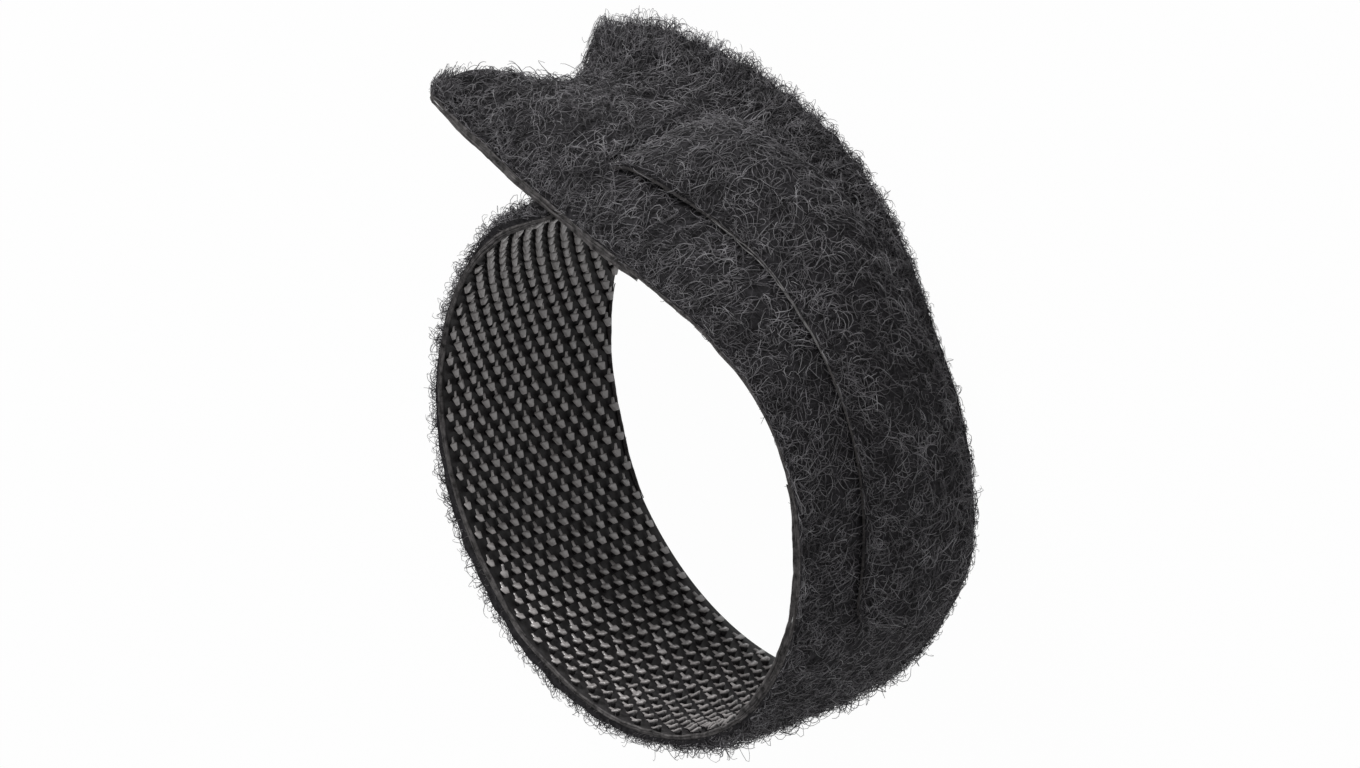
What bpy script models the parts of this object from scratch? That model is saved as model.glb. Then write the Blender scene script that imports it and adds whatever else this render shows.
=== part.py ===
"""Hook and loop cable tie: one die-cut strap, closed into a ring through the slot in its own head."""
import math

import bmesh
import bpy

# Driving sizes, in metres and degrees
WIDTH = 0.019                 # strap, rim to rim; it stands on the far rim
THICKNESS = 0.0010            # backing and packed loop pile, without the hooks
HOOK_HEIGHT = 0.0006          # moulded hooks on the inner face
HOOK_PITCH = 0.0016           # hook rows and columns
CROWN = 0.0007                # how far the middle of the width bulges past the rims
RING_RADIUS = 0.0224          # inner face of the closed ring
HEAD_CORNER = 0.0011          # rounding of the head's two corners
HEAD_SAG = 0.0036             # valley that the thumb leaves in the far half of the head
HEAD_FLAT = 0.0140            # length over which the crown dies out towards the head's free end
SLOT_LENGTH = 0.0104          # slot across the head
SLOT_OPENING = 0.0050         # slot along the strap
SLOT_FROM_END = 0.0182        # middle of the slot, from the end of the head
SLOT_FROM_RIM = 0.0097        # middle of the slot, from the near rim
TAIL_WIDTH = 0.0124           # narrow tongue, laid flat
TAIL_LENGTH = 0.0505          # tongue past the slot
TAIL_CORNER = 0.003           # rounding of the tongue's end
TAIL_RIDGE = 0.0020           # fold along the tongue where it leaves the slot
TAIL_FOLDED = 0.0180          # how far from the slot the tongue stays folded narrow
TAIL_DRIFT = 0.0020           # how far the tongue slants away from the near rim
SHOULDER = 0.0050             # length over which the strap narrows to the tongue
CLEARANCE = 0.0003            # between surfaces that touch on the real tie

# The two rims of the right-hand wall and the head: (length, turn to the left), walked up from the ring
NEAR_LEAVES_RING = -16
NEAR_RUN = ((0.011, 43), (0.009, 17), (0.014, 0), (0.018, -9))
FAR_LEAVES_RING = -4
FAR_RUN = ((0.009, 8), (0.015, 35), (0.017, 23.5), (0.010, 12.5))
LEAN_X = -0.00035             # how far the far rim lies over to the left of the near rim
LEAN_Y = -0.00035             # and how far below it
WALL_FOOT = -30               # where the even ring starts, as an angle on its circle
WALL_TOP = 101                # where the left-hand wall turns off towards the slot
ARCH_REACH = 0.0080           # from the slot to where the tongue comes down on the wall
ARCH_FULLNESS = 0.0080        # how high the tongue rises on its way there

# Sizes that follow
WALK_STEP = 0.00025
LIFT = THICKNESS + HOOK_HEIGHT + CLEARANCE
RING_LENGTH = math.radians(360 + WALL_FOOT - WALL_TOP) * RING_RADIUS
SLOT_NEAR = SLOT_FROM_RIM - SLOT_LENGTH / 2
SLOT_FAR = SLOT_FROM_RIM + SLOT_LENGTH / 2
THREADED_WIDTH = min(TAIL_WIDTH, SLOT_LENGTH - 4 * CLEARANCE)
# The tongue's own section lies to one side of its inner face, so that face runs beside the slot's middle
THREAD_LINE = SLOT_FROM_END + (THICKNESS - HOOK_HEIGHT) / 2


def on_circle(angle):
    a = math.radians(angle)
    return RING_RADIUS * math.cos(a), RING_RADIUS * math.sin(a)


def walk(leaves_ring, run):
    """Points from the foot of the wall, up round the circle and then along the run."""
    count = max(1, round(math.radians(leaves_ring - WALL_FOOT) * RING_RADIUS / WALK_STEP))
    points = [on_circle(WALL_FOOT + (leaves_ring - WALL_FOOT) * i / count) for i in range(count + 1)]
    heading = math.radians(leaves_ring + 90)
    for length, turn in run:
        count = max(1, round(length / WALK_STEP))
        half_turn = math.radians(turn) / count / 2
        for _ in range(count):
            heading += half_turn
            x, y = points[-1]
            points.append((x + length / count * math.cos(heading), y + length / count * math.sin(heading)))
            heading += half_turn
    return points


NEAR_RIM = walk(NEAR_LEAVES_RING, NEAR_RUN)
FAR_RIM = walk(FAR_LEAVES_RING, FAR_RUN)
WALL_LENGTH = WALK_STEP * (len(NEAR_RIM) + len(FAR_RIM)) / 2
RING_END = WALL_LENGTH + RING_LENGTH


def along(points, share):
    """The point at a share of the way along a walked rim, or straight on past its ends."""
    place = share * (len(points) - 1)
    i = min(max(int(place), 0), len(points) - 2)
    t = place - i
    return tuple(a + (b - a) * t for a, b in zip(points[i], points[i + 1]))


def ease(t):
    t = min(max(t, 0), 1)
    return t * t * (3 - 2 * t)


def even_plan(u, q):
    """Head, wall and ring in plan, spanned straight from rim to rim."""
    t = q / WIDTH
    if u > WALL_LENGTH:
        x, y = on_circle(WALL_FOOT - math.degrees((u - WALL_LENGTH) / RING_RADIUS))
    else:
        share = 1 - u / WALL_LENGTH
        near = along(NEAR_RIM, share)
        far = along(FAR_RIM, share)
        x, y = (a + (b - a) * t for a, b in zip(near, far))
    return x + LEAN_X * t, y + LEAN_Y * t


def frame_at(plan, u, q):
    """Point, direction of travel and outward direction of a plan curve."""
    step = 0.0006
    x0, y0 = plan(u - step, q)
    x1, y1 = plan(u + step, q)
    length = math.hypot(x1 - x0, y1 - y0)
    tx, ty = (x1 - x0) / length, (y1 - y0) / length
    return plan(u, q), (tx, ty), (-ty, tx)


def curve(start, leave, end, arrive, t):
    """Cubic curve from start to end with the given end vectors."""
    h0 = 2 * t ** 3 - 3 * t ** 2 + 1
    h1 = t ** 3 - 2 * t ** 2 + t
    h2 = -2 * t ** 3 + 3 * t ** 2
    h3 = t ** 3 - t ** 2
    return tuple(h0 * a + h1 * b + h2 * c + h3 * d for a, b, c, d in zip(start, leave, end, arrive))


def sag_at(u, q):
    t = q / WIDTH
    across = ease((t - 0.2) / 0.6) * (1 - ease((t - 0.86) / 0.14))
    lengthwise = 1 - 0.5 * ease(u / SLOT_FROM_END) - 0.5 * ease((u - SLOT_FROM_END) / SLOT_FROM_END)
    return HEAD_SAG * across * lengthwise


def base_plan(u, q):
    """Inner face of the head, wall and ring in plan: u from the head's end, q from the near rim."""
    (x, y), _, (nx, ny) = frame_at(even_plan, u, q)
    sag = sag_at(u, q)
    return x - sag * nx, y - sag * ny


def thread_point(q):
    point, _, outward = frame_at(base_plan, THREAD_LINE, q)
    return point, outward


def run_up_length():
    """Length of strap between the end of the even ring and the slot."""
    x0, y0 = base_plan(RING_END, SLOT_FROM_RIM)
    (x1, y1), _ = thread_point(SLOT_FROM_RIM)
    return 1.03 * math.hypot(x1 - x0, y1 - y0)


SLOT_CROSSING = RING_END + run_up_length()
TAIL_DOWN = SLOT_CROSSING + ARCH_REACH + 0.0015
STRAP_END = SLOT_CROSSING + TAIL_LENGTH


def settled_plan(u, q):
    """The tongue's inner face where it lies along the outside of the wall."""
    (x, y), _, (nx, ny) = frame_at(base_plan, THREAD_LINE + ARCH_REACH + (u - TAIL_DOWN), q)
    return x + LIFT * nx, y + LIFT * ny


def strap_plan(u, q):
    """Inner face of the whole strap in plan."""
    if u <= RING_END:
        return base_plan(u, q)
    slot, outward = thread_point(q)
    if u <= SLOT_CROSSING:
        start, travel, _ = frame_at(base_plan, RING_END, q)
        span = SLOT_CROSSING - RING_END
        return curve(start, [span * c for c in travel], slot, [0.9 * span * c for c in outward],
                     (u - RING_END) / span)
    if u <= TAIL_DOWN:
        end, travel, _ = frame_at(settled_plan, TAIL_DOWN, q)
        return curve(slot, [ARCH_FULLNESS * c for c in outward], end, [ARCH_REACH * c for c in travel],
                     (u - SLOT_CROSSING) / (TAIL_DOWN - SLOT_CROSSING))
    return settled_plan(u, q)


def rounded(half, corner, distance):
    """Half width near an end with rounded corners."""
    if distance >= corner:
        return half
    rest = corner - max(distance, 0)
    return half - corner + math.sqrt(max(corner ** 2 - rest ** 2, 0))


def width_at(u):
    """Middle of the width, from the near rim, and half the width."""
    if u < HEAD_CORNER:
        return WIDTH / 2, rounded(WIDTH / 2, HEAD_CORNER, u)
    shoulder_end = SLOT_CROSSING - THICKNESS - HOOK_HEIGHT
    narrow = ease((u - shoulder_end + SHOULDER) / SHOULDER)
    relaxed = ease((u - SLOT_CROSSING - TAIL_FOLDED) / (TAIL_LENGTH - TAIL_FOLDED))
    tongue = THREADED_WIDTH / 2 + (TAIL_WIDTH - THREADED_WIDTH) / 2 * relaxed
    half = WIDTH / 2 + (tongue - WIDTH / 2) * narrow
    middle = WIDTH / 2 + (SLOT_FROM_RIM - WIDTH / 2) * narrow
    middle += TAIL_DRIFT * ease((u - SLOT_CROSSING) / TAIL_FOLDED)
    return middle, rounded(half, TAIL_CORNER, STRAP_END - u)


def hooks_at(u):
    """Share of the hooks' height that stands: the slot presses them flat where the strap threads it."""
    pressed = 1 - ease((abs(u - SLOT_CROSSING - SLOT_OPENING / 2) - SLOT_OPENING / 2) / SLOT_OPENING)
    return 1 - 0.8 * pressed


def crown_at(u, q):
    """How far the strap bulges past its rims: it lies flat at the head's end and in the slot."""
    bulge = CROWN * (1 - (2 * q / WIDTH - 1) ** 2)
    if u < RING_END:
        return bulge * (0.25 + 0.75 * ease(u / HEAD_FLAT))
    if u < SLOT_CROSSING:
        return bulge * ease((SLOT_CROSSING - u) / (2 * SLOT_OPENING))
    return bulge * ease((u - SLOT_CROSSING) / ARCH_REACH)


def ridge_at(u):
    """Height of the lengthwise fold in the tongue."""
    rise = ease((u - SLOT_CROSSING - SLOT_OPENING / 4) / ARCH_REACH)
    fall = ease((u - TAIL_DOWN) / (TAIL_LENGTH * 0.45))
    return TAIL_RIDGE * rise * (1 - fall)


def formed(u, v, depth):
    """Place on the closed tie of a point of the flat blank: v runs from -1 to 1 across the width."""
    middle, half = width_at(u)
    q = middle + half * v
    (x, y), _, (nx, ny) = frame_at(strap_plan, u, q)
    if depth < 0:
        depth *= hooks_at(u)
    out = depth + crown_at(u, q) + ridge_at(u) * (1 - v * v)
    return x + out * nx, y + out * ny, WIDTH - q


def divided(breaks, pitch):
    """Stations from the first break to the last, with each break on a station."""
    stations = [breaks[0]]
    for start, end in zip(breaks, breaks[1:]):
        count = max(1, round((end - start) / pitch))
        stations += [start + (end - start) * (i + 1) / count for i in range(count)]
    return stations


def blank_stations():
    """Rows along the blank and columns across it; the rows are closer where it bends sharply."""
    slot_start = SLOT_FROM_END - SLOT_OPENING / 2
    slot_end = SLOT_FROM_END + SLOT_OPENING / 2
    bend_start = SLOT_CROSSING - SHOULDER - THICKNESS
    rows = divided((0, HEAD_CORNER), HEAD_CORNER / 2)
    rows += divided((HEAD_CORNER, slot_start, slot_end, bend_start), HOOK_PITCH)[1:]
    rows += divided((bend_start, TAIL_DOWN + THICKNESS), HOOK_PITCH / 2)[1:]
    rows += divided((TAIL_DOWN + THICKNESS, STRAP_END - TAIL_CORNER), HOOK_PITCH)[1:]
    rows += divided((STRAP_END - TAIL_CORNER, STRAP_END), TAIL_CORNER / 4)[1:]
    columns = [2 * q / WIDTH - 1 for q in divided((0, SLOT_NEAR, SLOT_FAR, WIDTH), HOOK_PITCH)]
    return rows, columns


def flat_blank():
    """The die-cut blank: outline and slot, with the hooks raised on its under face."""
    rows, columns = blank_stations()
    bm = bmesh.new()
    bmesh.ops.create_grid(bm, x_segments=len(rows) - 1, y_segments=len(columns) - 1, size=0.5)
    for vert in bm.verts:
        vert.co.x = rows[round((vert.co.x + 0.5) * (len(rows) - 1))]
        vert.co.y = columns[round((vert.co.y + 0.5) * (len(columns) - 1))]
    in_slot = [
        face for face in bm.faces
        if abs(face.calc_center_median().x - SLOT_FROM_END) < SLOT_OPENING / 2
        and SLOT_NEAR < (face.calc_center_median().y + 1) * WIDTH / 2 < SLOT_FAR
    ]
    bmesh.ops.delete(bm, geom=in_slot, context="FACES")
    under = list(bm.faces)
    made = bmesh.ops.extrude_face_region(bm, geom=under, use_keep_orig=True)["geom"]
    for vert in (item for item in made if isinstance(item, bmesh.types.BMVert)):
        vert.co.z += THICKNESS
    bmesh.ops.recalc_face_normals(bm, faces=list(bm.faces))
    bmesh.ops.poke(bm, faces=under, offset=HOOK_HEIGHT)
    return bm


def centre_footprint(bm):
    """Puts the origin under the middle of the bounding box."""
    xs = [vert.co.x for vert in bm.verts]
    ys = [vert.co.y for vert in bm.verts]
    offset = (-(min(xs) + max(xs)) / 2, -(min(ys) + max(ys)) / 2, 0)
    bmesh.ops.translate(bm, verts=list(bm.verts), vec=offset)


def make_material():
    material = bpy.data.materials.new("black_hook_and_loop")
    material.use_nodes = True
    principled = material.node_tree.nodes["Principled BSDF"]
    principled.inputs["Base Color"].default_value = (0.012, 0.012, 0.013, 1)
    principled.inputs["Roughness"].default_value = 0.85
    principled.inputs["Metallic"].default_value = 0
    return material


def make_strap(collection):
    """The strap, bent from its flat blank into the closed tie."""
    bm = flat_blank()
    for vert in bm.verts:
        vert.co = formed(vert.co.x, vert.co.y, vert.co.z)
    centre_footprint(bm)
    bmesh.ops.triangulate(bm, faces=list(bm.faces))
    bmesh.ops.recalc_face_normals(bm, faces=list(bm.faces))
    mesh = bpy.data.meshes.new("tie_strap")
    bm.to_mesh(mesh)
    bm.free()
    strap = bpy.data.objects.new("tie_strap", mesh)
    mesh.materials.append(make_material())
    collection.objects.link(strap)
    return strap


def main():
    for item in list(bpy.data.objects):
        bpy.data.objects.remove(item, do_unlink=True)
    collection = bpy.data.collections.new("hook_and_loop_cable_tie")
    bpy.context.scene.collection.children.link(collection)
    make_strap(collection)


main()
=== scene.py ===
"""Looks of the closed hook and loop cable tie: woven backing, moulded hooks and napped loop pile."""
import math

import bmesh
import bpy
import numpy as np
from bpy.props import FloatProperty, FloatVectorProperty, IntProperty, PointerProperty
from mathutils import Matrix, Vector


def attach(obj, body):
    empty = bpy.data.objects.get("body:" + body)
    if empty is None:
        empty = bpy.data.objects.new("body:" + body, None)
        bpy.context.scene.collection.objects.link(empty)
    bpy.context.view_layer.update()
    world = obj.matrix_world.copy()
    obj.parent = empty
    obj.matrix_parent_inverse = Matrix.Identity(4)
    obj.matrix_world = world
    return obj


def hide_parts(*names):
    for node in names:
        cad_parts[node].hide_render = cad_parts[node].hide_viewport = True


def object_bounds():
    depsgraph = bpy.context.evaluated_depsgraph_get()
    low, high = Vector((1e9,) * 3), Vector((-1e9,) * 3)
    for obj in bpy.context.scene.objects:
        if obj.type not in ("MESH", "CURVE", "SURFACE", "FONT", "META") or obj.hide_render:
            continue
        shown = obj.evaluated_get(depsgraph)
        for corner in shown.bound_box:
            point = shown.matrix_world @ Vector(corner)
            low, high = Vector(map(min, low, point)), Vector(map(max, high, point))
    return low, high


bl_info = {
    "name": "Hook and Loop Cable Tie",
    "version": (1, 0, 0),
    "blender": (4, 5, 0),
    "location": "View3D > Sidebar > Cable Tie",
    "description": "Dresses a closed hook and loop cable tie with hooks, backing and pile",
    "category": "Object",
}

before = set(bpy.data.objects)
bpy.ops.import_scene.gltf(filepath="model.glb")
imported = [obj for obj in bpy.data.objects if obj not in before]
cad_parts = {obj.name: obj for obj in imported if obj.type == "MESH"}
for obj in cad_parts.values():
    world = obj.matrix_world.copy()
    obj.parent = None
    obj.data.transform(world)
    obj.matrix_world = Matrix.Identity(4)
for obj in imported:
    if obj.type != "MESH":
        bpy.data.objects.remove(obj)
CAD_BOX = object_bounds()

# The strap's own sizes, in metres and degrees, as in the solid that it dresses
WIDTH = 0.019
RING_RADIUS = 0.0224
CROWN = 0.0007
HEAD_CORNER = 0.0011
HEAD_SAG = 0.0036
HEAD_FLAT = 0.0140
SLOT_LENGTH = 0.0104
SLOT_OPENING = 0.0050
SLOT_FROM_END = 0.0182
SLOT_FROM_RIM = 0.0097
TAIL_WIDTH = 0.0124
TAIL_LENGTH = 0.0505
TAIL_CORNER = 0.003
TAIL_RIDGE = 0.0020
TAIL_FOLDED = 0.0180
TAIL_DRIFT = 0.0020
SHOULDER = 0.0040
RUN_UP_TURN = 0.3
RUN_UP_SLACK = 1.03           # the run-up to the slot is this much longer than a straight line
TONGUE_DROOP = 0.00045
RING_FLARE = 0.0006
SOLID_THICKNESS = 0.0010
SOLID_HOOKS = 0.0006
CLEARANCE = 0.0003
# Where each rim of the wall leaves the ring's circle, and then the length and turn of each of its stretches
NEAR_LEAVES_RING = -16
NEAR_RUN = ((0.011, 43), (0.009, 17), (0.014, 0), (0.018, -9))
FAR_LEAVES_RING = -4
FAR_RUN = ((0.009, 8), (0.015, 35), (0.017, 23.5), (0.010, 12.5))
LEAN_X = -0.00035
LEAN_Y = -0.00035
WALL_FOOT = -30
WALL_TOP = 101
ARCH_REACH = 0.0080
ARCH_FULLNESS = 0.0080
ARCH_SLACK = 0.0015           # the tongue's arch is this much longer than its reach

# Sizes that follow
WALK_STEP = 0.00025
LIFT = 0.0014                 # the tongue's hooks sink into the pile
RING_LENGTH = math.radians(360 + WALL_FOOT - WALL_TOP) * RING_RADIUS
SLOT_NEAR = SLOT_FROM_RIM - SLOT_LENGTH / 2
SLOT_FAR = SLOT_FROM_RIM + SLOT_LENGTH / 2
THREADED_WIDTH = min(TAIL_WIDTH, SLOT_LENGTH - 4 * CLEARANCE)
THREAD_LINE = SLOT_FROM_END + (SOLID_THICKNESS - SOLID_HOOKS) / 2
CLOSED_SLOT = 0.0012          # the soft cloth closes its slot onto the strap
CLOSED_ENDS = 0.0009          # and closes this much of the slot at each of its ends

# Camera, from the two rims in the photograph: the ring's axis leans 53 degrees from the line of sight
PHOTO_SIZE = (1360, 768)
PHOTO_SCALE = 12100           # pixels per metre at the tie
RING_CENTRE_PIXEL = (615.7, 478)   # where the middle of the near rim's circle lies in the photograph
VIEW_BACK = Vector((0.8, 0, 0.6))
VIEW_RIGHT = Vector((0.561, -0.353, -0.748))
CAMERA_DISTANCE = 0.75

# Stage: a light stands right of, above and in front of the tie as the camera sees it, with its power
LIGHTS = (("key_light", -0.24, 0.36, 0.08, 1.55), ("side_light", 0.26, 0, 0.38, 0.15))
LIGHT_SIZE = 0.20
SKY_LEVEL = 0.375             # strength of the white surroundings for all but the camera
FLOOR_WHITE = 0.98            # share of the floor that is plain white to the camera and in reflections

# Finishes: scale of the mottle, its darkest and lightest share of the colour, roughness, bump and shine
FINISHES = {
    # Hooks: painted reflection on the crowns and painted shade down their sides, see hook_material.
    "hooks_painted_reflection_and_shade": (900, 0.7, 1.3, 0.24, 0.1, 0.9),
    "hook_web": (1500, 0.6, 1.4, 0.5, 0.3, 0.2),
    "cut_edge": (2600, 0.35, 1.5, 0.8, 1, 0.2),
    "pile_ground_painted_shade": (1800, 0.3, 2.2, 0.9, 1, 0.2),
    "edge_threads": (1300, 0.15, 1.9, 0.65, 0, 0.2),
    "tongue_threads_painted_light": (1300, 0.5, 1.5, 0.6, 0, 0.2),
    "dark_fibres": (420, 0.3, 1.8, 0.6, 0, 0.2),
    "plain_fibres": (420, 0.35, 1.8, 0.5, 0, 0.2),
    "pale_fibres": (420, 0.35, 1.7, 0.45, 0, 0.2),
    "frayed_edge": (2200, 0.5, 1.8, 0.55, 0, 0.2),
}


class TieSizes(bpy.types.PropertyGroup):
    """Sizes of the hooks and the pile."""

    cloth: FloatProperty(name="Cloth", description="Thickness of the woven cloth under the hooks",
                         default=0.00030, unit="LENGTH")
    backing: FloatProperty(name="Backing", description="Thickness of cloth and pile at the cut edges",
                           default=0.00045, unit="LENGTH")
    ground: FloatProperty(name="Pile ground", description="Extra depth of packed pile mid-width",
                          default=0.00035, unit="LENGTH")
    hook_pitch: FloatProperty(name="Hook pitch", description="Distance between rows of hooks",
                              default=0.00133, unit="LENGTH")
    hook_spacing: FloatProperty(name="Hook spacing", description="Distance between hooks in a row",
                                default=0.00141, unit="LENGTH")
    hook_height: FloatProperty(name="Hook height", description="Height of the hooks", default=0.00060,
                               unit="LENGTH")
    fibre: FloatProperty(name="Fibre", description="Thickness of one pile fibre", default=0.000075,
                         unit="LENGTH")
    pile_fibres: IntProperty(name="Pile fibres", description="Fibres in each bundle of pile",
                             default=4400, min=1)
    edge_fibres: IntProperty(name="Edge fibres", description="Frayed fibres along the cut edges",
                             default=2600, min=1)


class TieColours(bpy.types.PropertyGroup):
    """Colours of the tie."""

    pile: FloatVectorProperty(name="Pile", description="Colour of most of the pile", subtype="COLOR",
                              size=4, min=0, max=1, default=(0.150, 0.144, 0.153, 1))
    dark_pile: FloatVectorProperty(name="Dark pile", description="Colour of the pile's dark fibres",
                                   subtype="COLOR", size=4, min=0, max=1,
                                   default=(0.046, 0.044, 0.048, 1))
    pale_pile: FloatVectorProperty(name="Pale pile", description="Colour of the pile's pale fibres",
                                   subtype="COLOR", size=4, min=0, max=1,
                                   default=(0.25, 0.245, 0.255, 1))
    # Painted shade: the packed pile under the fibres is the same nylon as the fibres, coloured far darker to
    # stand in for the shade deep in the pile.
    ground: FloatVectorProperty(name="Ground", description="Colour deep in the pile", subtype="COLOR",
                                size=4, min=0, max=1, default=(0.020, 0.019, 0.021, 1))
    cut_edge: FloatVectorProperty(name="Cut edge", description="Colour of the cloth at its cut edges",
                                  subtype="COLOR", size=4, min=0, max=1,
                                  default=(0.10, 0.094, 0.094, 1))
    # Painted light: the tongue's cut edge is the same cloth as the other cut edges, coloured twice as pale
    # to stand in for the light falling on it.
    tongue_edge_painted_light: FloatVectorProperty(name="Tongue edge", description="Clean cut edge of the tongue",
                                     subtype="COLOR", size=4, min=0, max=1,
                                     default=(0.20, 0.195, 0.195, 1))
    # Painted reflection: the hooks are black nylon, and this pale grey on their crowns stands in for the
    # white surroundings that the glossy crowns reflect.
    hooks: FloatVectorProperty(name="Hooks", description="Colour of the moulded hooks", subtype="COLOR",
                               size=4, min=0, max=1, default=(0.43, 0.405, 0.40, 1))
    web: FloatVectorProperty(name="Hook web", description="Colour of the sheet between the hooks",
                             subtype="COLOR", size=4, min=0, max=1, default=(0.034, 0.032, 0.033, 1))


def on_circle(angle):
    """Point of the ring's circle in plan, at an angle in degrees."""
    a = math.radians(angle)
    return RING_RADIUS * math.cos(a), RING_RADIUS * math.sin(a)


def walk(leaves_ring, run):
    """Points from the foot of the wall, up round the circle and then along the run."""
    count = max(1, round(math.radians(leaves_ring - WALL_FOOT) * RING_RADIUS / WALK_STEP))
    points = [on_circle(WALL_FOOT + (leaves_ring - WALL_FOOT) * i / count) for i in range(count + 1)]
    heading = math.radians(leaves_ring + 90)
    for length, turn in run:
        count = max(1, round(length / WALK_STEP))
        half_turn = math.radians(turn) / count / 2
        for _ in range(count):
            heading += half_turn
            x, y = points[-1]
            points.append((x + length / count * math.cos(heading), y + length / count * math.sin(heading)))
            heading += half_turn
    return points


NEAR_RIM = walk(NEAR_LEAVES_RING, NEAR_RUN)
FAR_RIM = walk(FAR_LEAVES_RING, FAR_RUN)
WALL_LENGTH = WALK_STEP * (len(NEAR_RIM) + len(FAR_RIM)) / 2
RING_END = WALL_LENGTH + RING_LENGTH


def along(points, share):
    """The point at a share of the way along a walked rim, or straight on past its ends."""
    place = share * (len(points) - 1)
    i = min(max(int(place), 0), len(points) - 2)
    t = place - i
    return tuple(a + (b - a) * t for a, b in zip(points[i], points[i + 1]))


def ease(t):
    """Smooth step from 0 to 1."""
    t = min(max(t, 0), 1)
    return t * t * (3 - 2 * t)


def even_plan(u, q):
    """Head, wall and ring in plan, spanned straight from rim to rim."""
    t = q / WIDTH
    if u > WALL_LENGTH:
        x, y = on_circle(WALL_FOOT - math.degrees((u - WALL_LENGTH) / RING_RADIUS))
    else:
        share = 1 - u / WALL_LENGTH
        near = along(NEAR_RIM, share)
        far = along(FAR_RIM, share)
        x, y = (a + (b - a) * t for a, b in zip(near, far))
    return x + LEAN_X * t, y + LEAN_Y * t


def frame_at(plan, u, q):
    """Point, direction of travel and outward direction of a plan curve."""
    step = 0.0006
    x0, y0 = plan(u - step, q)
    x1, y1 = plan(u + step, q)
    length = math.hypot(x1 - x0, y1 - y0)
    tx, ty = (x1 - x0) / length, (y1 - y0) / length
    return plan(u, q), (tx, ty), (-ty, tx)


def curve(start, leave, end, arrive, t):
    """Cubic curve from start to end with the given end vectors."""
    h0 = 2 * t ** 3 - 3 * t ** 2 + 1
    h1 = t ** 3 - 2 * t ** 2 + t
    h2 = -2 * t ** 3 + 3 * t ** 2
    h3 = t ** 3 - t ** 2
    return tuple(h0 * a + h1 * b + h2 * c + h3 * d for a, b, c, d in zip(start, leave, end, arrive))


def sag_at(u, q):
    """Depth of the valley in the head: deepest at the head's end, towards the far rim."""
    t = q / WIDTH
    across = ease((t - 0.2) / 0.6) * (1 - ease((t - 0.86) / 0.14))
    lengthwise = 1 - 0.5 * ease(u / SLOT_FROM_END) - 0.5 * ease((u - SLOT_FROM_END) / SLOT_FROM_END)
    return HEAD_SAG * across * lengthwise


def base_plan(u, q):
    """Inner face of the head, wall and ring in plan: u from the head's end, q from the near rim."""
    (x, y), _, (nx, ny) = frame_at(even_plan, u, q)
    sag = sag_at(u, q)
    return x - sag * nx, y - sag * ny


def thread_point(q):
    """Where the strap crosses its own slot, and the direction out of the wall there."""
    point, _, outward = frame_at(base_plan, THREAD_LINE, q)
    return point, outward


def run_up_length():
    """Length of strap between the end of the even ring and the slot."""
    x0, y0 = base_plan(RING_END, SLOT_FROM_RIM)
    (x1, y1), _ = thread_point(SLOT_FROM_RIM)
    return RUN_UP_SLACK * math.hypot(x1 - x0, y1 - y0)


SLOT_CROSSING = RING_END + run_up_length()
TAIL_DOWN = SLOT_CROSSING + ARCH_REACH + ARCH_SLACK
STRAP_END = SLOT_CROSSING + TAIL_LENGTH


def settled_plan(u, q):
    """The tongue's inner face where it lies along the outside of the wall."""
    (x, y), _, (nx, ny) = frame_at(base_plan, THREAD_LINE + ARCH_REACH + (u - TAIL_DOWN), q)
    return x + LIFT * nx, y + LIFT * ny


def strap_plan(u, q):
    """Inner face of the whole strap in plan."""
    if u <= RING_END:
        return base_plan(u, q)
    slot, outward = thread_point(q)
    if u <= SLOT_CROSSING:
        start, travel, _ = frame_at(base_plan, RING_END, q)
        span = SLOT_CROSSING - RING_END
        return curve(start, [span * c for c in travel], slot, [RUN_UP_TURN * span * c for c in outward],
                     (u - RING_END) / span)
    if u <= TAIL_DOWN:
        end, travel, _ = frame_at(settled_plan, TAIL_DOWN, q)
        return curve(slot, [ARCH_FULLNESS * c for c in outward], end, [ARCH_REACH * c for c in travel],
                     (u - SLOT_CROSSING) / (TAIL_DOWN - SLOT_CROSSING))
    return settled_plan(u, q)


def rounded(half, corner, distance):
    """Half width near an end with rounded corners."""
    if distance >= corner:
        return half
    rest = corner - max(distance, 0)
    return half - corner + math.sqrt(max(corner ** 2 - rest ** 2, 0))


def width_at(u):
    """Middle of the width, from the near rim, and half the width."""
    if u < HEAD_CORNER:
        return WIDTH / 2, rounded(WIDTH / 2, HEAD_CORNER, u)
    narrow = ease((u - SLOT_CROSSING + SHOULDER) / SHOULDER)
    relaxed = ease((u - SLOT_CROSSING - TAIL_FOLDED) / (TAIL_LENGTH - TAIL_FOLDED))
    tongue = THREADED_WIDTH / 2 + (TAIL_WIDTH - THREADED_WIDTH) / 2 * relaxed
    half = WIDTH / 2 + (tongue - WIDTH / 2) * narrow
    middle = WIDTH / 2 + (SLOT_FROM_RIM - WIDTH / 2) * narrow
    middle += TAIL_DRIFT * ease((u - SLOT_CROSSING) / TAIL_FOLDED)
    return middle, rounded(half, TAIL_CORNER, STRAP_END - u)


def hooks_at(u):
    """Share of the hooks' height that stands: the slot presses them flat."""
    pressed = 1 - ease((abs(u - SLOT_CROSSING - SLOT_OPENING / 2) - SLOT_OPENING / 2) / SLOT_OPENING)
    return 1 - 0.8 * pressed


def ridge_at(u):
    """Height of the lengthwise fold in the tongue."""
    rise = ease((u - SLOT_CROSSING - SLOT_OPENING / 4) / ARCH_REACH)
    fall = ease((u - TAIL_DOWN) / (TAIL_LENGTH * 0.45))
    return TAIL_RIDGE * rise * (1 - fall)


def droop_at(u):
    """How far the tongue's rims sink into the pile under them."""
    return TONGUE_DROOP * ease((u - SLOT_CROSSING - ARCH_REACH) / ARCH_REACH)


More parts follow.
